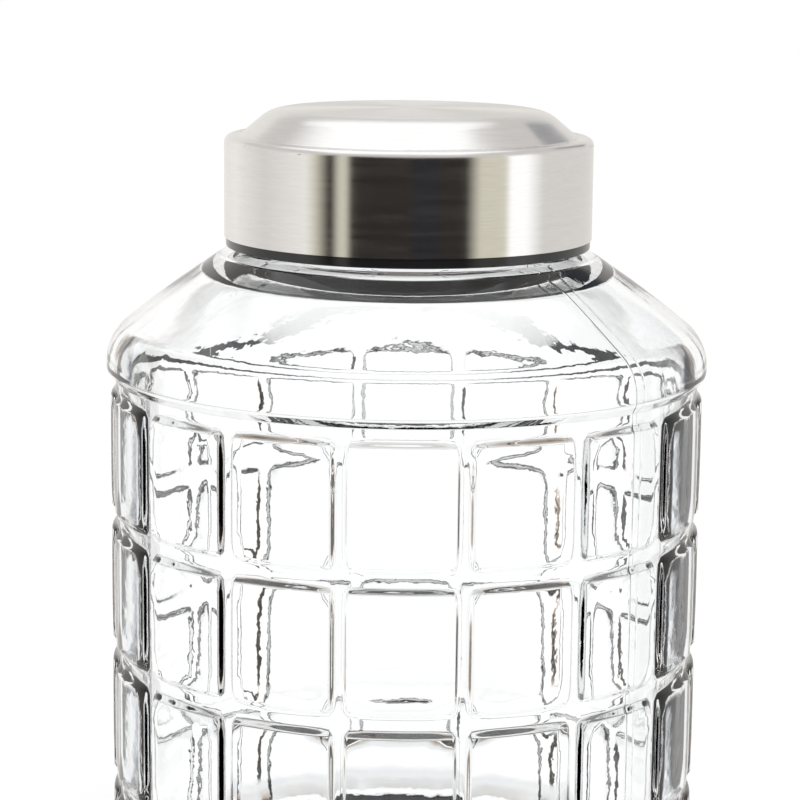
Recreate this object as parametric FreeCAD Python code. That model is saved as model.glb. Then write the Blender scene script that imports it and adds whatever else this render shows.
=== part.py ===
"""Glass storage jar with a window-pane grid, and a stepped steel lid on a black liner.

Units are millimetres. +Z is up, and the origin is the centre of the standing ring.
One STEP file is written for each separate piece: the jar, the liner and the lid shell.
Turned shapes are given as the corners of their outline, (radius, height, round).
"""
import FreeCAD, Part
import math
import os

os.makedirs("parts", exist_ok=True)

# ---- grid of raised panes on the body ----------------------------------------------
BODY_R = 80.0             # crown of a pane
PANE_COLUMNS = 16
PANE_ROWS = 4
ROW_PITCH = 36.7
FIRST_GROOVE_DEG = -56.7  # an upright groove, turned from -Y towards +X
GROOVE_DEPTH = 1.2        # below the edge of a pane
UPRIGHT_FLOOR = 1.6       # flat width at the bottom of an upright groove
LEVEL_FLOOR = 2.8
GROOVE_BEVEL = 2.2        # run of each sloping side
PANE_CROWN = 0.3          # how far the middle of a pane stands above its edge
PANE_CORNER_R = 2.6
PANE_ROOT = 1.0           # how deep a pane is sunk in the wall behind it

# ---- heel and base -----------------------------------------------------------------
HEEL_H = 13.0             # table to the middle of the lowest groove
HEEL_R = 7.0
RING_W = 8.0              # flat standing ring inside the heel's round
RING_R = 1.7              # inner edge of the standing ring
PUNT_H = 3.6              # rise of the hollow under the base
PUNT_SLOPE_W = 14.0
PUNT_R = 22.0
BASE_T = 9.0              # glass in the middle of the base
FLOOR_R = 14.0            # round between the inside wall and floor

# ---- shoulder, heights above the middle of the top groove ---------------------------
BULGE_OUT = 0.9           # how far the bulge stands out past the panes
BROW_R = 2.4              # lower edge of the bulge
CORNER_H = 11.9           # where the upright side and the slope would meet
CORNER_R = 12.5
SLOPE_TOP_H = 34.6
SLOPE_TOP_R = 3.0
SLOPE_BOW = 0.65          # rise of the slope's middle above a straight line
SLOPE_BOW_R = 190.0

# ---- neck ---------------------------------------------------------------------------
NECK_R = 44.0
NECK_WALL = 4.4
NECK_H = 21.8             # ledge to lip
LEDGE_W = 6.4             # from the neck out to the top of the slope
LEDGE_RISE = 0.6
LEDGE_FILLET = 1.0
LIP_R = 1.7

# ---- wall ---------------------------------------------------------------------------
WALL = 4.8
SLOPE_WALL = 5.2
INSIDE_CORNER_R = 8.0
INSIDE_NECK_R = 5.0
SOFFIT_DROP = 4.8         # ledge down to the foot of the bore
SOFFIT_W = 12.9           # flatter glass round the bore, under the ledge
SOFFIT_R = 6.0

# ---- liner --------------------------------------------------------------------------
THREAD_CLEAR = 0.9        # gap between the neck and the liner's skirt
LINER_WALL = 3.6
LEDGE_CLEAR = 1.4         # gap between the ledge and the band
BAND_H = 2.6              # the part that shows under the steel
BAND_BACK = 0.4           # the band lies this far inside the steel's face
BAND_R = 0.5
DISC_T = 2.4

# ---- lid shell ----------------------------------------------------------------------
SHEET = 0.8
SKIRT_H = 25.0
EDGE_R = 1.9
RIM_W = 4.1               # from the face of the skirt in to the cone
RIM_FILLET = 1.2
CONE_DEG = 40.0
CONE_H = 6.85
KNEE_R = 9.5
CROWN_H = 0.55            # rise of the crown inside the knee
CROWN_FLAT_R = 17.0
CROWN_R = 760.0

# ---- derived sizes ------------------------------------------------------------------
TOP_GROOVE = HEEL_H + PANE_ROWS * ROW_PITCH
PANE_EDGE_R = BODY_R - PANE_CROWN
GROOVE_R = PANE_EDGE_R - GROOVE_DEPTH
HALF_LEVEL = LEVEL_FLOOR / 2
BULGE_R = BODY_R + BULGE_OUT
BORE_R = NECK_R - NECK_WALL
INSIDE_R = BODY_R - WALL
SLOPE_TOP = TOP_GROOVE + SLOPE_TOP_H
LEDGE_Z = SLOPE_TOP + LEDGE_RISE
LIP_Z = LEDGE_Z + NECK_H
BAND_Z = LEDGE_Z + LEDGE_CLEAR
LID_R = NECK_R + THREAD_CLEAR + LINER_WALL + SHEET
SKIRT_Z = BAND_Z + BAND_H
RIM_Z = SKIRT_Z + SKIRT_H + EDGE_R
STEP_R = LID_R - RIM_W
CONE_TOP_R = STEP_R - CONE_H / math.tan(math.radians(CONE_DEG))
PANE_STEP_DEG = 360.0 / PANE_COLUMNS

UP = FreeCAD.Vector(0, 0, 1)
CENTRE = FreeCAD.Vector(0, 0, 0)


# ---- outlines -----------------------------------------------------------------------
def point(radius, height):
    """A point of a turned outline, in the XZ plane."""
    return FreeCAD.Vector(radius, 0, height)


def corner_arc(before, corner, after, size):
    """The start, middle and end of the round of a corner."""
    back = (before - corner).normalize()
    on = (after - corner).normalize()
    half = back.getAngle(on) / 2
    reach = size / math.tan(half)
    middle_way = (back + on).normalize()
    hub = corner + middle_way * (size / math.sin(half))
    return corner + back * reach, hub - middle_way * size, corner + on * reach


def rounded_edges(corners):
    """Lines and tangent arcs along a closed outline of (radius, height, round)."""
    spots = [point(r, z) for r, z, size in corners]
    count = len(corners)
    pieces = []
    for i in range(count):
        size = corners[i][2]
        if size:
            pieces.append(corner_arc(spots[i - 1], spots[i], spots[(i + 1) % count], size))
        else:
            pieces.append((spots[i], None, spots[i]))
    edges = []
    for i in range(count):
        start, middle, end = pieces[i]
        if middle:
            edges.append(Part.Arc(start, middle, end).toShape())
        edges.append(Part.LineSegment(end, pieces[(i + 1) % count][0]).toShape())
    return edges


def turned(corners, degrees=360):
    """The solid swept by an outline round the Z axis."""
    face = Part.Face(Part.Wire(rounded_edges(corners)))
    return face.revolve(CENTRE, UP, degrees)


def inner_face(corners, distance):
    """An open outline moved to its left-hand side, with its rounds kept parallel."""
    spots = [point(r, z) for r, z, size in corners]
    ways = [(b - a).normalize() for a, b in zip(spots, spots[1:])]
    moved = []
    for i, (r, z, size) in enumerate(corners):
        before = ways[max(i - 1, 0)]
        after = ways[min(i, len(ways) - 1)]
        normal = point(-before.z - after.z, before.x + after.x).normalize()
        reach = distance / (normal.z * after.x - normal.x * after.z)
        turns_left = before.x * after.z - before.z * after.x > 0
        kept = size - distance if turns_left else size + distance
        moved.append((r + normal.x * reach, z + normal.z * reach, kept if size else 0))
    return moved


# ---- jar ----------------------------------------------------------------------------
def base_corners():
    """Under the base: the hollow, the standing ring, the heel and the lowest groove."""
    ring_in = BODY_R - HEEL_R - RING_W
    return [
        (0, PUNT_H, 0),
        (ring_in - PUNT_SLOPE_W, PUNT_H, PUNT_R),
        (ring_in, 0, RING_R),
        (BODY_R, 0, HEEL_R),
        (BODY_R, HEEL_H - HALF_LEVEL - GROOVE_BEVEL, 0),
        (GROOVE_R, HEEL_H - HALF_LEVEL, 0),
    ]


def slope_line():
    """The two ends of the straight line under the shoulder's slope."""
    low = point(BULGE_R, TOP_GROOVE + CORNER_H)
    high = point(NECK_R + LEDGE_W, SLOPE_TOP)
    return low, high


def shoulder_corners():
    """The side above the top groove, the sloping shoulder, the ledge and the neck."""
    low, high = slope_line()
    along = (high - low).normalize()
    outwards = point(along.z, -along.x)
    bow = (low + high) * 0.5 + outwards * SLOPE_BOW
    return [
        (GROOVE_R, TOP_GROOVE + HALF_LEVEL, 0),
        (BULGE_R, TOP_GROOVE + HALF_LEVEL + GROOVE_BEVEL, BROW_R),
        (low.x, low.z, CORNER_R),
        (bow.x, bow.z, SLOPE_BOW_R),
        (high.x, high.z, SLOPE_TOP_R),
        (NECK_R, LEDGE_Z, LEDGE_FILLET),
        (NECK_R, LIP_Z, LIP_R),
        (BORE_R, LIP_Z, LIP_R),
    ]


def inside_corners():
    """The bore, the soffit round it, the underside of the slope, the wall and the floor."""
    low, high = slope_line()
    fall = (high.z - low.z) / (low.x - high.x)
    top = high.z - SLOPE_WALL * math.hypot(1, fall)
    soffit_out = BORE_R + SOFFIT_W
    floor_z = PUNT_H + BASE_T
    return [
        (BORE_R, LEDGE_Z - SOFFIT_DROP, INSIDE_NECK_R),
        (soffit_out, top + (high.x - soffit_out) * fall, SOFFIT_R),
        (INSIDE_R, top + (high.x - INSIDE_R) * fall, INSIDE_CORNER_R),
        (INSIDE_R, floor_z, FLOOR_R),
        (0, floor_z, 0),
    ]


def pane_blank():
    """A ring sector one pane wide, crowned from top to bottom, centred on +X."""
    half = ROW_PITCH / 2
    root = GROOVE_R - PANE_ROOT
    low = point(PANE_EDGE_R, -half)
    high = point(PANE_EDGE_R, half)
    crown = Part.Arc(low, point(BODY_R, 0), high).toShape()
    back = Part.makePolygon([high, point(root, half), point(root, -half), low])
    sector = Part.Face(Part.Wire([crown] + back.Edges)).revolve(CENTRE, UP, PANE_STEP_DEG)
    sector.rotate(CENTRE, UP, -PANE_STEP_DEG / 2)
    return sector


def groove_section(half_floor):
    """Half of a groove's section, as (radius, half-width) from below its floor outwards."""
    beyond = BODY_R + GROOVE_DEPTH
    spread = GROOVE_BEVEL / GROOVE_DEPTH
    return [
        (GROOVE_R - 2 * PANE_ROOT, half_floor),
        (GROOVE_R, half_floor),
        (beyond, half_floor + (beyond - GROOVE_R) * spread),
    ]


def upright_cutter():
    """A bar with the section of an upright groove, along +X."""
    half = groove_section(UPRIGHT_FLOOR / 2)
    ring = [FreeCAD.Vector(r, -w, -ROW_PITCH) for r, w in half]
    ring += [FreeCAD.Vector(r, w, -ROW_PITCH) for r, w in reversed(half)]
    return Part.Face(Part.makePolygon(ring + ring[:1])).extrude(UP * (2 * ROW_PITCH))


def level_cutter():
    """A ring with the section of a level groove."""
    half = groove_section(HALF_LEVEL)
    corners = [(r, -w, 0) for r, w in half] + [(r, w, 0) for r, w in reversed(half)]
    return turned(corners)


def mitre_edges(body):
    """The edges of a pane where a level bevel meets an upright one."""
    found = []
    for edge in body.Edges:
        ends = [v.Point for v in edge.Vertexes]
        if len(ends) != 2:
            continue
        climb = abs(math.hypot(ends[0].x, ends[0].y) - math.hypot(ends[1].x, ends[1].y))
        rise = abs(ends[0].z - ends[1].z)
        if climb > GROOVE_DEPTH / 2 and GROOVE_BEVEL / 2 < rise < GROOVE_BEVEL * 2:
            found.append(edge)
    return found


def pane():
    """One raised pane with bevelled sides and rounded corners, centred on +X."""
    body = pane_blank()
    for side in (-1, 1):
        upright = upright_cutter()
        upright.rotate(CENTRE, UP, side * PANE_STEP_DEG / 2)
        level = level_cutter()
        level.translate(UP * (side * ROW_PITCH / 2))
        body = body.cut(upright).cut(level)
    return body.makeFillet(PANE_CORNER_R, mitre_edges(body))


def panes():
    """Every pane of the grid, in place."""
    master = pane()
    placed = []
    for row in range(PANE_ROWS):
        for column in range(PANE_COLUMNS):
            copy = master.copy()
            turn = FIRST_GROOVE_DEG - 90 + (column + 0.5) * PANE_STEP_DEG
            copy.rotate(CENTRE, UP, turn)
            copy.translate(UP * (TOP_GROOVE - (row + 0.5) * ROW_PITCH))
            placed.append(copy)
    return placed


def jar():
    """The glass: one turned wall with the grid of panes raised on it."""
    wall = turned(base_corners() + shoulder_corners() + inside_corners())
    return wall.multiFuse(panes()).removeSplitter()


# ---- lid ----------------------------------------------------------------------------
def lid_corners():
    """The face of the lid, from the hem of the skirt to the middle of the crown."""
    knee_z = RIM_Z + CONE_H
    return [
        (LID_R, SKIRT_Z, 0),
        (LID_R, RIM_Z, EDGE_R),
        (STEP_R, RIM_Z, RIM_FILLET),
        (CONE_TOP_R, knee_z, KNEE_R),
        (CROWN_FLAT_R, knee_z + CROWN_H, CROWN_R),
        (0, knee_z + CROWN_H, 0),
    ]


def lid_shell():
    """The pressed steel cap, one sheet thick."""
    face = lid_corners()
    return turned(face + inner_face(face, SHEET)[::-1])


def liner():
    """The black cup in the shell: the band under the steel, a skirt and a sealing disc."""
    skirt_out = LID_R - SHEET
    skirt_in = NECK_R + THREAD_CLEAR
    band_out = LID_R - BAND_BACK
    top = RIM_Z - SHEET
    rest_in = STEP_R - LINER_WALL / 2
    return turned([
        (skirt_in, BAND_Z, 0),
        (band_out, BAND_Z, BAND_R),
        (band_out, SKIRT_Z, 0),
        (skirt_out, SKIRT_Z, 0),
        (skirt_out, top, EDGE_R),
        (rest_in, top, 0),
        (rest_in, LIP_Z + DISC_T, 0),
        (0, LIP_Z + DISC_T, 0),
        (0, LIP_Z, 0),
        (skirt_in, LIP_Z, 0),
    ])


jar().exportStep("parts/jar.step")
lid_shell().exportStep("parts/lid_shell.step")
liner().exportStep("parts/liner.step")
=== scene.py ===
"""A clear pressed-glass storage jar with a brushed-steel lid, on a pale floor.

The jar is a fine turned mesh that replaces the frame's jar. The steel lid and the
black lining are the frame's own nodes, with procedural materials.
"""
import math

import bpy
import numpy as np
from mathutils import Matrix, Vector


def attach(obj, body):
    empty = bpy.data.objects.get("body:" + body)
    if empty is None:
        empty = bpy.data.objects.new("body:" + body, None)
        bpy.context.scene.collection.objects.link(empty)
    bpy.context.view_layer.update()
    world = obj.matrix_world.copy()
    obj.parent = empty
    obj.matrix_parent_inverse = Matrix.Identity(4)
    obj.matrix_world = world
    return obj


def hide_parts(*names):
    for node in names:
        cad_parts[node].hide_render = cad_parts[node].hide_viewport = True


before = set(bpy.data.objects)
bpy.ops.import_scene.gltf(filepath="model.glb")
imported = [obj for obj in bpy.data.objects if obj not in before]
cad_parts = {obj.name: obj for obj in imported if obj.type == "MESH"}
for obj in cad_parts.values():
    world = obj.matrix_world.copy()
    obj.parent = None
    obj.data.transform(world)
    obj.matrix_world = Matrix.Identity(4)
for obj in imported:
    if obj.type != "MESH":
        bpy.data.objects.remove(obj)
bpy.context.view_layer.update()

MM = 0.001

# camera
CAMERA = Vector((0.0, -0.720, 0.287))
PITCH_DEG, YAW_DEG, ROLL_DEG = -10.467, -0.134, 0.6
LENS, SENSOR = 121.16, 36.0

# panes, in metres
COLUMNS, ROWS = 16, 4
FIRST_GROOVE_DEG = -56.7
PANE_R = 80.0 * MM
GROOVE_R = 78.5 * MM
HEEL_H, ROW_PITCH = 13.0 * MM, 36.7 * MM
UPRIGHT_FLOOR = 1.6 * MM
LEVEL_FLOOR = 2.8 * MM
UPRIGHT_BEVEL = 1.8 * MM
LEVEL_BEVEL = 2.2 * MM
CROWN = 0.3 * MM
CORNER_R = 3.4 * MM
CROWN_POWER = 0.6
TOP_GROOVE = HEEL_H + ROWS * ROW_PITCH

# mesh: the small caps on the axis, and the parts of a groove's floor, a bevel and a pane
AXIS_R = 0.5 * MM
GRID_GAP = 0.3 * MM
BASE_STEP, SHOULDER_STEP = 1.2 * MM, 1.6 * MM
ARC_PARTS = 10
ACROSS_PARTS = (2, 6, 8)
UP_PARTS = (2, 7, 10)

# heel and base
HEEL_R = 7.0 * MM
HEEL_BEVEL_LOW, HEEL_BEVEL_HIGH = 9.0 * MM, 11.6 * MM
HEEL_EDGE_R = 1.0 * MM
FOOT_R = 0.6 * MM
RING_INNER_R, RING_R = 65.0 * MM, 1.7 * MM
PUNT_FLAT_R, PUNT_H, PUNT_R = 51.0 * MM, 3.6 * MM, 22.0 * MM

# shoulder
BULGE_R = 80.9 * MM
BROW_FOOT_H, BROW_H, BROW_R = 161.1 * MM, 163.6 * MM, 2.2 * MM
SHOULDER_H, SHOULDER_R = 171.7 * MM, 12.5 * MM
SLOPE_MIDDLE, SLOPE_BOW_R = (66.04 * MM, 183.57 * MM), 190.0 * MM
SLOPE_TOP, SLOPE_TOP_R = (50.4 * MM, 194.4 * MM), 3.0 * MM

# neck
NECK_R = 44.0 * MM
NECK_WALL = 4.4 * MM
BORE_R = NECK_R - NECK_WALL
LEDGE_H, LEDGE_FILLET = 195.0 * MM, 1.0 * MM
LIP_H, LIP_R = 216.8 * MM, 1.7 * MM

# inside
WALL = 4.8 * MM
INSIDE_R = PANE_R - WALL
BORE_FOOT_H, BORE_FOOT_R = 190.2 * MM, 5.0 * MM
SOFFIT_FOOT, SOFFIT_R = (52.5 * MM, 186.36 * MM), 6.0 * MM
INSIDE_CORNER_H, INSIDE_CORNER_R = 169.46 * MM, 8.0 * MM
INSIDE_FLOOR_H, INSIDE_FLOOR_R = 12.6 * MM, 14.0 * MM

# glass surface: waves as (scale, height in millimetres), and the mould seam
GLASS = (0.985, 0.99, 0.99)
GLASS_IOR = 1.5
WAVES = ((150.0, 0.022), (330.0, 0.008))
SEAM_DEG, SEAM_W, SEAM_H = 48.0, 0.5 * MM, 0.045 * MM

# steel and plastic
STEEL_DARK, STEEL_PALE = (0.765, 0.755, 0.745), (0.82, 0.81, 0.80)
FINE_LINES, FINE_STREAKS, FINE_DETAIL, FINE_SHARE = 4200.0, 9.0, 3.0, 0.65
BROAD_LINES, BROAD_STREAKS, BROAD_DETAIL, BROAD_SHARE = 700.0, 2.0, 2.0, 0.35
STEEL_ROUGH, TOP_MORE_ROUGH, TOP_FACES_UP = (0.16, 0.20), 0.04, 0.3
BRUSH_STRENGTH, BRUSH_DEPTH = 0.25, 0.000004
PLASTIC, PLASTIC_ROUGH = (0.012, 0.012, 0.013), 0.10

# The studio's directions below were set for the photograph's view, so that
# reflections and refracted lines fall about where the photograph has them.

# studio: what polished surfaces reflect, by azimuth in degrees from -Y towards +X
WARM = (0.80, 0.78, 0.75)
SOFT = (1.00, 0.98, 0.95)
BEIGE = (0.75, 0.72, 0.60)
BLACK = (0.02, 0.015, 0.012)
SLATE = (0.014, 0.015, 0.020)
PANEL = (1.30, 1.30, 1.30)
SCREENS = [
    (-180, WARM), (-135, SOFT), (-100, WARM), (-66, SOFT), (-60, BEIGE),
    (-50, BLACK), (-48, BLACK), (-43, BEIGE), (-39, BEIGE), (-35, BLACK),
    (2, BLACK), (4, SLATE), (17, SLATE), (20, BLACK), (36, BLACK), (45, BEIGE),
    (62, BEIGE), (66, PANEL), (78, PANEL), (92, WARM), (180, WARM),
]
CEILING, CEILING_UP, CEILING_EDGE = (0.72, 0.70, 0.68), (0.42, 2.0), 0.08
BOX_LIGHT = (1.40, 1.40, 1.41)
BOX_ACROSS, BOX_AHEAD, BOX_EDGE = (-0.62, 0.40), (-0.30, 1.00), 0.04
BOX_LOWEST, ABOVE_LEVEL = 0.3, 0.01
FLAG_LIGHT = (0.22, 0.23, 0.26)
FLAG_ACROSS, FLAG_UP, FLAG_EDGE = (0.40, 0.56), (0.26, 0.60), 0.02

# studio: what is seen through glass, by azimuth from +Y and by height above level
DARK = (0.014, 0.015, 0.020)
UMBER = (0.022, 0.016, 0.012)
DIM = (0.78, 0.78, 0.79)
PALE = (0.93, 0.94, 0.95)
WHITE = (1.12, 1.12, 1.12)
BROWN = (0.50, 0.39, 0.30)
BLUE = (0.30, 0.36, 0.44)
WINDOW = [
    (-180, DIM), (-130, DIM), (-118, PALE), (-66, PALE), (-63, BROWN), (-61, UMBER),
    (-45, UMBER), (-43.5, BLUE), (-41, PALE), (-36.5, PALE), (-35.5, BLUE), (-35, UMBER),
    (-29.5, UMBER), (-28.5, BROWN), (-26.5, WHITE), (29.5, WHITE), (31, BROWN), (32, DARK),
    (43, DARK), (45, BLUE), (48, WHITE), (66, PALE), (118, PALE), (130, DIM),
]
TIERS = [
    (-90, (0.9, 0.9, 0.9)), (-64, (0.9, 0.9, 0.9)), (-61, BLUE), (-59, (0.04, 0.04, 0.05)),
    (-36, (0.03, 0.03, 0.03)), (-34, BROWN), (-31, (0.80, 0.78, 0.76)), (-27, (1.0, 1.0, 1.0)),
]
WINDOW_LOW, WINDOW_EDGE = (-0.38, 2.0), 0.03
TIERS_ACROSS, TIERS_EDGE = (-0.52, 0.52), 0.05
BEHIND_Y = -0.1
CLEAR = (1.0, 1.0, 1.0)

# floor and lamp
FLOOR_SIZE, FLOOR_SIDES = 9.0, 64
FLOOR_GLOW = 0.5
LAMP_POWER, LAMP_SIZE = 6.0, 1.0
LAMP_PLACE, LAMP_TARGET = (0.3, -0.6, 1.4), (0, 0, 0.1)


def polar(azimuth, radius, height):
    """A point at an azimuth turned from -Y towards +X."""
    return radius * np.sin(azimuth), -radius * np.cos(azimuth), height


def smooth_ramp(t, soft=0.3):
    """0 to 1 over t in 0..1 with a straight middle and eased ends."""
    t = np.clip(t, 0.0, 1.0)
    top = 1.0 / (1.0 - soft)
    ease = top * t * t / (2.0 * soft)
    line = top * (t - soft / 2.0)
    last = 1.0 - top * (1.0 - t) ** 2 / (2.0 * soft)
    return np.where(t < soft, ease, np.where(t > 1.0 - soft, last, line))


def rounded_line(corners, step):
    """Points (r, z) along a line whose corners (r, z, radius) are rounded."""
    points = [np.array(corners[0][:2], float)]
    for before, corner, after in zip(corners, corners[1:], corners[2:]):
        here = np.array(corner[:2], float)
        first = np.array(before[:2], float) - here
        second = np.array(after[:2], float) - here
        first /= np.linalg.norm(first)
        second /= np.linalg.norm(second)
        if corner[2] <= 0.0:
            arc = [here]
        else:
            half = math.acos(np.clip(first @ second, -1, 1)) / 2.0
            reach = corner[2] / math.tan(half)
            middle = first + second
            outward = middle / np.linalg.norm(middle)
            centre = here + outward * corner[2] / math.sin(half)
            start = here + first * reach - centre
            end = here + second * reach - centre
            turn = math.pi - 2.0 * half
            side = np.sign(start[0] * end[1] - start[1] * end[0])
            angles = np.linspace(0.0, turn * side, ARC_PARTS + 1)
            arc = [
                centre + np.array((start[0] * math.cos(a) - start[1] * math.sin(a),
                                   start[0] * math.sin(a) + start[1] * math.cos(a)))
                for a in angles
            ]
        _run_to(points, arc[0], step)
        points.extend(arc[1:])
    _run_to(points, np.array(corners[-1][:2], float), step)
    return np.array(points)


def _run_to(points, target, step):
    """Adds evenly spaced points from the last one to the target."""
    start = points[-1]
    length = np.linalg.norm(target - start)
    if length < 1e-7:
        return
    parts = max(1, int(round(length / step)))
    for k in range(1, parts + 1):
        points.append(start + (target - start) * k / parts)


def grid_object(name, rows):
    """A closed turned mesh from rows of points, shape (rows, columns, 3)."""
    count, across = rows.shape[:2]
    vertices = rows.reshape(-1, 3)
    index = np.arange(count * across).reshape(count, across)
    nxt = np.roll(index, -1, axis=1)
    quads = np.stack((index[:-1], nxt[:-1], nxt[1:], index[1:]), axis=-1).reshape(-1, 4)
    first_hub, last_hub = len(vertices), len(vertices) + 1
    faces = quads.tolist()
    faces += [(first_hub, int(b), int(a)) for a, b in zip(index[0], nxt[0])]
    faces += [(last_hub, int(a), int(b)) for a, b in zip(index[-1], nxt[-1])]
    vertices = np.vstack((vertices, rows[0].mean(axis=0), rows[-1].mean(axis=0)))
    mesh = bpy.data.meshes.new(name)
    mesh.from_pydata(vertices.tolist(), [], faces)
    mesh.validate()
    mesh.polygons.foreach_set("use_smooth", [True] * len(mesh.polygons))
    mesh.update()
    piece = bpy.data.objects.new(name, mesh)
    bpy.context.scene.collection.objects.link(piece)
    return piece


def turned_rows(line, azimuths):
    """Rows of points for an outline (r, z) turned round the axis."""
    radius = line[:, 0][:, None]
    height = line[:, 1][:, None]
    x, y, z = polar(azimuths[None, :], radius, height + 0.0 * azimuths[None, :])
    return np.stack((x, y, z), axis=-1)


# ---------------------------------------------------------------- glass

def cell_stations(half, groove_floor, bevel, parts):
    """Places across one cell, from the middle of one groove to the next."""
    floor_parts, bevel_parts, pane_parts = parts
    foot = half - groove_floor / 2
    shoulder = foot - bevel
    left = np.concatenate((
        np.linspace(-half, -foot, floor_parts + 1)[:-1],
        np.linspace(-foot, -shoulder, bevel_parts + 1)[:-1],
    ))
    middle = np.linspace(-shoulder, shoulder, pane_parts + 1)
    right = -left[::-1]
    return np.concatenate((left, middle, right))[:-1]


def pane_height(across, up, half_across, half_up):
    """How far a pane stands above the groove at places in one cell."""
    foot_a = half_across - UPRIGHT_FLOOR / 2 - CORNER_R
    stretch = LEVEL_BEVEL / UPRIGHT_BEVEL
    foot_u = half_up - LEVEL_FLOOR / 2 - CORNER_R * stretch
    da = np.abs(across) - foot_a
    du = (np.abs(up) - foot_u) / stretch
    outside = np.hypot(np.maximum(da, 0.0), np.maximum(du, 0.0))
    inside = np.minimum(np.maximum(da, du), 0.0)
    depth = CORNER_R - (outside + inside)
    rise = smooth_ramp(depth / UPRIGHT_BEVEL)
    pillow = (1 - (across / half_across) ** 2) * (1 - (up / half_up) ** 2)
    bulge = CROWN * np.maximum(pillow, 0.0) ** CROWN_POWER
    return (PANE_R - CROWN - GROOVE_R) * rise + bulge * rise


def jar_rows():
    """The glass: the hollow under the base, out, up, over the lip, down inside."""
    half_across = math.pi * (PANE_R - CROWN) / COLUMNS
    half_up = ROW_PITCH / 2.0
    across = cell_stations(half_across, UPRIGHT_FLOOR, UPRIGHT_BEVEL, ACROSS_PARTS)
    cell_angle = 2.0 * math.pi / COLUMNS
    starts = math.radians(FIRST_GROOVE_DEG) + cell_angle * (np.arange(COLUMNS) + 0.5)
    azimuths = (starts[:, None] + across[None, :] / half_across * cell_angle / 2).ravel()
    in_cell_a = np.tile(across, COLUMNS)

    up = cell_stations(half_up, LEVEL_FLOOR, LEVEL_BEVEL, UP_PARTS)
    middles = HEEL_H + ROW_PITCH * (np.arange(ROWS) + 0.5)
    heights = (middles[:, None] + up[None, :]).ravel()
    in_cell_u = np.tile(up, ROWS)
    lift = pane_height(in_cell_a[None, :], in_cell_u[:, None], half_across, half_up)
    pane_rows = np.stack(
        polar(azimuths[None, :], GROOVE_R + lift, heights[:, None] + 0 * lift), axis=-1
    )

    base = rounded_line([
        (AXIS_R, PUNT_H, 0), (PUNT_FLAT_R, PUNT_H, PUNT_R), (RING_INNER_R, 0, RING_R),
        (PANE_R, 0, HEEL_R), (PANE_R, HEEL_BEVEL_LOW, HEEL_EDGE_R),
        (GROOVE_R, HEEL_BEVEL_HIGH, FOOT_R), (GROOVE_R, HEEL_H - GRID_GAP, 0),
    ], BASE_STEP)
    shoulder = rounded_line([
        (GROOVE_R, TOP_GROOVE + GRID_GAP, 0), (GROOVE_R, BROW_FOOT_H, FOOT_R),
        (BULGE_R, BROW_H, BROW_R), (BULGE_R, SHOULDER_H, SHOULDER_R),
        (*SLOPE_MIDDLE, SLOPE_BOW_R), (*SLOPE_TOP, SLOPE_TOP_R),
        (NECK_R, LEDGE_H, LEDGE_FILLET), (NECK_R, LIP_H, LIP_R), (BORE_R, LIP_H, LIP_R),
        (BORE_R, BORE_FOOT_H, BORE_FOOT_R), (*SOFFIT_FOOT, SOFFIT_R),
        (INSIDE_R, INSIDE_CORNER_H, INSIDE_CORNER_R),
        (INSIDE_R, INSIDE_FLOOR_H, INSIDE_FLOOR_R), (AXIS_R, INSIDE_FLOOR_H, 0),
    ], SHOULDER_STEP)
    return np.concatenate(
        (turned_rows(base, azimuths), pane_rows, turned_rows(shoulder, azimuths)))


# ---------------------------------------------------------------- materials

def new_material(name):
    material = bpy.data.materials.new(name)
    material.use_nodes = True
    return material, material.node_tree


def add(tree, kind, **settings):
    """A new node with its properties set."""
    node = tree.nodes.new(kind)
    for key, value in settings.items():
        setattr(node, key, value)
    return node


def math_node(tree, operation, first, second=None):
    node = add(tree, "ShaderNodeMath", operation=operation)
    for socket, value in zip(node.inputs, (first, second)):
        if value is None:
            continue
        if isinstance(value, (int, float)):
            socket.default_value = value
        else:
            tree.links.new(value, socket)
    return node.outputs[0]


def ramp(tree, factor, stops):
    """A colour ramp over a value from 0 to 1; stops are (place, colour)."""
    node = add(tree, "ShaderNodeValToRGB")
    node.color_ramp.interpolation = "LINEAR"
    elements = node.color_ramp.elements
    while len(elements) > 1:
        elements.remove(elements[-1])
    elements[0].position = stops[0][0]
    elements[0].color = (*stops[0][1], 1)
    for place, colour in stops[1:]:
        element = elements.new(place)
        element.color = (*colour, 1)
    tree.links.new(factor, node.inputs["Fac"])
    return node.outputs["Color"]


def mould_seam(tree, where):
    """The fine ridge, in millimetres, where the two halves of the mould met."""
    split = add(tree, "ShaderNodeSeparateXYZ")
    tree.links.new(where, split.inputs[0])
    x, y = split.outputs[:2]
    turn = math.radians(SEAM_DEG)
    across = math_node(tree, "ADD", math_node(tree, "MULTIPLY", x, math.cos(turn)),
                       math_node(tree, "MULTIPLY", y, math.sin(turn)))
    near = add(tree, "ShaderNodeMapRange", interpolation_type="SMOOTHSTEP")
    near.inputs["From Min"].default_value = SEAM_W
    near.inputs["From Max"].default_value = 0.0
    near.inputs["To Max"].default_value = SEAM_H / MM
    tree.links.new(math_node(tree, "ABSOLUTE", across), near.inputs["Value"])
    return near.outputs["Result"]


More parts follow.
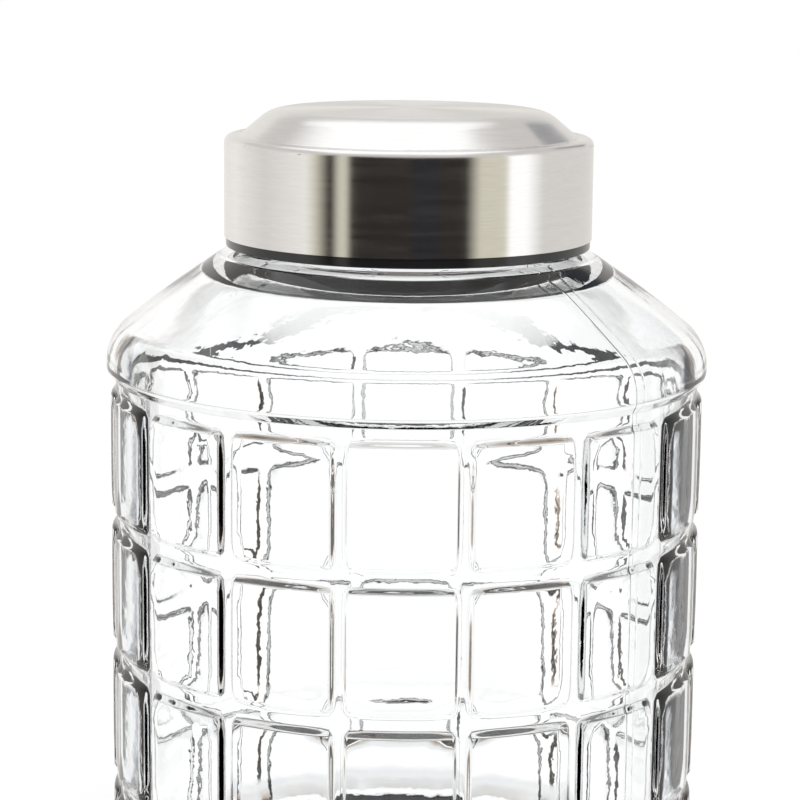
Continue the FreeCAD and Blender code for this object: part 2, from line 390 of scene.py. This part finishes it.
def glass_material():
    material, tree = new_material("pressed_glass")
    shader = tree.nodes["Principled BSDF"]
    shader.inputs["Base Color"].default_value = (*GLASS, 1)
    shader.inputs["Roughness"].default_value = 0.0
    shader.inputs["IOR"].default_value = GLASS_IOR
    shader.inputs["Transmission Weight"].default_value = 1.0
    where = add(tree, "ShaderNodeTexCoord").outputs["Object"]
    waves = []
    for scale, depth in WAVES:
        noise = add(tree, "ShaderNodeTexNoise")
        noise.inputs["Scale"].default_value = scale
        noise.inputs["Detail"].default_value = 2.0
        tree.links.new(where, noise.inputs["Vector"])
        waves.append(math_node(tree, "MULTIPLY", noise.outputs["Fac"], depth))
    waves.append(mould_seam(tree, where))
    height = math_node(tree, "ADD", math_node(tree, "ADD", waves[0], waves[1]), waves[2])
    bump = add(tree, "ShaderNodeBump")
    bump.inputs["Strength"].default_value = 1.0
    bump.inputs["Distance"].default_value = MM
    tree.links.new(height, bump.inputs["Height"])
    tree.links.new(bump.outputs["Normal"], shader.inputs["Normal"])
    return material


def brushed_noise(tree, lines, streaks, detail):
    """Noise drawn out round the axis, as brushing on a lathe leaves it."""
    where = add(tree, "ShaderNodeTexCoord").outputs["Object"]
    split = add(tree, "ShaderNodeSeparateXYZ")
    tree.links.new(where, split.inputs[0])
    x, y, z = split.outputs
    reach = math_node(tree, "POWER", math_node(
        tree, "ADD", math_node(tree, "MULTIPLY", x, x), math_node(tree, "MULTIPLY", y, y)), 0.5)
    angle = math_node(tree, "ARCTAN2", x, y)
    spot = add(tree, "ShaderNodeCombineXYZ")
    tree.links.new(math_node(tree, "MULTIPLY", reach, lines), spot.inputs[0])
    tree.links.new(math_node(tree, "MULTIPLY", angle, streaks), spot.inputs[1])
    tree.links.new(math_node(tree, "MULTIPLY", z, lines), spot.inputs[2])
    noise = add(tree, "ShaderNodeTexNoise")
    noise.inputs["Scale"].default_value = 1.0
    noise.inputs["Detail"].default_value = detail
    tree.links.new(spot.outputs[0], noise.inputs["Vector"])
    return noise.outputs["Fac"]


def spread(tree, value, low, high):
    """A 0-to-1 value, its middle stretched, as a number from low to high."""
    node = add(tree, "ShaderNodeMapRange")
    node.inputs["From Min"].default_value = 0.3
    node.inputs["From Max"].default_value = 0.7
    node.inputs["To Min"].default_value = low
    node.inputs["To Max"].default_value = high
    tree.links.new(value, node.inputs["Value"])
    return node.outputs["Result"]


def steel_material():
    material, tree = new_material("brushed_steel")
    shader = tree.nodes["Principled BSDF"]
    shader.inputs["Metallic"].default_value = 1.0
    shader.inputs["Anisotropic"].default_value = 0.95
    shader.inputs["Anisotropic Rotation"].default_value = 0.25
    tangent = add(tree, "ShaderNodeTangent", direction_type="RADIAL", axis="Z")
    tree.links.new(tangent.outputs["Tangent"], shader.inputs["Tangent"])
    fine = brushed_noise(tree, FINE_LINES, FINE_STREAKS, FINE_DETAIL)
    broad = brushed_noise(tree, BROAD_LINES, BROAD_STREAKS, BROAD_DETAIL)
    brushing = math_node(tree, "ADD", math_node(tree, "MULTIPLY", fine, FINE_SHARE),
                         math_node(tree, "MULTIPLY", broad, BROAD_SHARE))
    tone = ramp(tree, brushing, [(0.35, STEEL_DARK), (0.65, STEEL_PALE)])
    tree.links.new(tone, shader.inputs["Base Color"])
    facing_up = add(tree, "ShaderNodeSeparateXYZ")
    tree.links.new(add(tree, "ShaderNodeNewGeometry").outputs["True Normal"], facing_up.inputs[0])
    top = math_node(tree, "GREATER_THAN", facing_up.outputs["Z"], TOP_FACES_UP)
    rough = math_node(tree, "ADD", spread(tree, broad, *STEEL_ROUGH),
                      math_node(tree, "MULTIPLY", top, TOP_MORE_ROUGH))
    tree.links.new(rough, shader.inputs["Roughness"])
    bump = add(tree, "ShaderNodeBump")
    bump.inputs["Strength"].default_value = BRUSH_STRENGTH
    bump.inputs["Distance"].default_value = BRUSH_DEPTH
    tree.links.new(fine, bump.inputs["Height"])
    tree.links.new(bump.outputs["Normal"], shader.inputs["Normal"])
    return material


def plastic_material():
    material, tree = new_material("black_plastic")
    shader = tree.nodes["Principled BSDF"]
    shader.inputs["Base Color"].default_value = (*PLASTIC, 1)
    shader.inputs["Roughness"].default_value = PLASTIC_ROUGH
    return material


# ---------------------------------------------------------------- studio

def studio_world():
    """White for the camera and matt surfaces, and pale and dark panels elsewhere.

    Reflections and rays through the glass each have their own set of panels.
    """
    world = bpy.data.worlds.new("studio")
    bpy.context.scene.world = world
    world.use_nodes = True
    tree = world.node_tree
    direction = add(tree, "ShaderNodeTexCoord").outputs["Generated"]
    split = add(tree, "ShaderNodeSeparateXYZ")
    tree.links.new(direction, split.inputs[0])
    x, y, z = split.outputs

    # what polished surfaces reflect, by azimuth from -Y towards +X
    back_y = math_node(tree, "MULTIPLY", y, -1.0)
    around = by_angle(tree, math_node(tree, "ARCTAN2", x, back_y), 360.0, SCREENS)
    overhead = soft_box(tree, x, y, z)
    reflected = mixed(tree, patch(tree, ((z, CEILING_UP),), CEILING_EDGE), around, CEILING)
    reflected = mixed(tree, overhead, reflected, BOX_LIGHT)
    flag = patch(tree, ((x, FLAG_ACROSS), (z, FLAG_UP)), FLAG_EDGE)
    flag = math_node(tree, "MULTIPLY", flag, math_node(tree, "GREATER_THAN", y, 0.0))
    reflected = mixed(tree, flag, reflected, FLAG_LIGHT)

    # what is seen through the glass, by azimuth from +Y and by height
    window = by_angle(tree, math_node(tree, "ARCTAN2", x, y), 360.0, WINDOW)
    tiers = by_angle(tree, math_node(tree, "ARCSINE", z), 180.0, TIERS)
    window = mixed(tree, patch(tree, ((z, WINDOW_LOW),), WINDOW_EDGE), PALE, window)
    tiers = mixed(tree, patch(tree, ((x, TIERS_ACROSS),), TIERS_EDGE), CLEAR, tiers)
    through = add(tree, "ShaderNodeMix", data_type="RGBA", blend_type="MULTIPLY")
    through.inputs["Factor"].default_value = 1.0
    tree.links.new(window, through.inputs[6])
    tree.links.new(tiers, through.inputs[7])
    behind = math_node(tree, "LESS_THAN", y, BEHIND_Y)
    through = mixed(tree, behind, through.outputs[2], DIM)

    path = add(tree, "ShaderNodeLightPath")
    shown = mixed(tree, path.outputs["Is Glossy Ray"], CLEAR, reflected)
    shown = mixed(tree, path.outputs["Is Transmission Ray"], shown, through)
    tree.links.new(shown, tree.nodes["Background"].inputs["Color"])


def by_angle(tree, angle, span, stops):
    """Colours along an angle in radians; stops are (degrees, colour) over the span."""
    share = math_node(tree, "DIVIDE", angle, math.radians(span))
    place = math_node(tree, "ADD", share, 0.5)
    return ramp(tree, place, [(0.5 + degrees / span, colour) for degrees, colour in stops])


def soft_box(tree, x, y, z):
    """1 in the directions of the soft box over the object, 0 elsewhere.

    Its limits are places on a level plane at height 1, and it ends near the horizon.
    """
    high = math_node(tree, "MAXIMUM", z, ABOVE_LEVEL)
    across = math_node(tree, "DIVIDE", x, high)
    ahead = math_node(tree, "DIVIDE", y, high)
    mask = patch(tree, ((across, BOX_ACROSS), (ahead, BOX_AHEAD)), BOX_EDGE)
    return math_node(tree, "MULTIPLY", mask, math_node(tree, "GREATER_THAN", z, BOX_LOWEST))


def patch(tree, limits, edge):
    """1 where each value lies between its two limits, with a soft edge."""
    mask = None
    for place, (low, high) in limits:
        for value, sign in ((low, 1.0), (high, -1.0)):
            past = math_node(tree, "MULTIPLY", math_node(tree, "SUBTRACT", place, value), sign)
            step = add(tree, "ShaderNodeMapRange", interpolation_type="SMOOTHSTEP")
            step.inputs["From Min"].default_value = -edge
            step.inputs["From Max"].default_value = edge
            tree.links.new(past, step.inputs["Value"])
            inside = step.outputs["Result"]
            mask = math_node(tree, "MULTIPLY", mask, inside) if mask else inside
    return mask


def mixed(tree, factor, first, second):
    """The first colour where the factor is 0, the second where it is 1."""
    node = add(tree, "ShaderNodeMix", data_type="RGBA")
    tree.links.new(factor, node.inputs["Factor"])
    for socket, value in ((node.inputs[6], first), (node.inputs[7], second)):
        if isinstance(value, tuple):
            socket.default_value = (*value, 1.0)
        else:
            tree.links.new(value, socket)
    return node.outputs[2]


def floor():
    """A pale floor: it keeps the shadow, and is as white as the backdrop elsewhere."""
    mesh = bpy.data.meshes.new("floor")
    rim = [(FLOOR_SIZE * math.cos(a), FLOOR_SIZE * math.sin(a), 0.0)
           for a in np.linspace(0, 2 * math.pi, FLOOR_SIDES, endpoint=False)]
    mesh.from_pydata(rim, [], [tuple(range(FLOOR_SIDES))])
    piece = bpy.data.objects.new("floor", mesh)
    bpy.context.scene.collection.objects.link(piece)
    material, tree = new_material("floor")
    shader = tree.nodes["Principled BSDF"]
    shader.inputs["Base Color"].default_value = (1.0, 1.0, 1.0, 1)
    shader.inputs["Roughness"].default_value = 0.8
    shader.inputs["Specular IOR Level"].default_value = 0.0
    glow = add(tree, "ShaderNodeEmission")
    mix = add(tree, "ShaderNodeMixShader")
    path = add(tree, "ShaderNodeLightPath")
    seen = math_node(tree, "MULTIPLY", path.outputs["Is Camera Ray"], FLOOR_GLOW)
    tree.links.new(seen, mix.inputs[0])
    tree.links.new(shader.outputs[0], mix.inputs[1])
    tree.links.new(glow.outputs[0], mix.inputs[2])
    tree.links.new(mix.outputs[0], tree.nodes["Material Output"].inputs["Surface"])
    mesh.materials.append(material)
    piece.visible_glossy = False
    piece.visible_transmission = False


def camera():
    data = bpy.data.cameras.new("camera")
    data.lens, data.sensor_width = LENS, SENSOR
    data.clip_start, data.clip_end = 0.01, 30.0
    piece = bpy.data.objects.new("camera", data)
    bpy.context.scene.collection.objects.link(piece)
    pitch, yaw, roll = (math.radians(a) for a in (PITCH_DEG, YAW_DEG, ROLL_DEG))
    ahead = Vector(
        (math.sin(yaw) * math.cos(pitch), math.cos(yaw) * math.cos(pitch), math.sin(pitch)))
    level = ahead.cross(Vector((0, 0, 1))).normalized()
    upright = level.cross(ahead)
    right = level * math.cos(roll) + upright * math.sin(roll)
    up = right.cross(ahead)
    matrix = Matrix((right, up, -ahead)).transposed().to_4x4()
    matrix.translation = CAMERA
    piece.matrix_world = matrix
    bpy.context.scene.camera = piece


def lamp(name, energy, size, place, target):
    data = bpy.data.lights.new(name, "AREA")
    data.energy, data.size = energy, size
    piece = bpy.data.objects.new(name, data)
    bpy.context.scene.collection.objects.link(piece)
    piece.location = place
    piece.rotation_euler = (Vector(target) - Vector(place)).to_track_quat("-Z", "Y").to_euler()
    piece.visible_glossy = False
    piece.visible_transmission = False


camera()
studio_world()
floor()
lamp("top_lamp", LAMP_POWER, LAMP_SIZE, LAMP_PLACE, LAMP_TARGET)

jar = grid_object("jar_glass", jar_rows())
jar.data.materials.append(glass_material())
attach(jar, "root")
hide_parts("jar")

for name, material in (("lid_shell", steel_material()), ("liner", plastic_material())):
    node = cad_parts[name]
    for slot in range(len(node.data.materials)):
        node.data.materials[slot] = material

bpy.context.scene.view_settings.view_transform = "Standard"
bpy.context.scene.cycles.max_bounces = 24
bpy.context.scene.cycles.transmission_bounces = 24
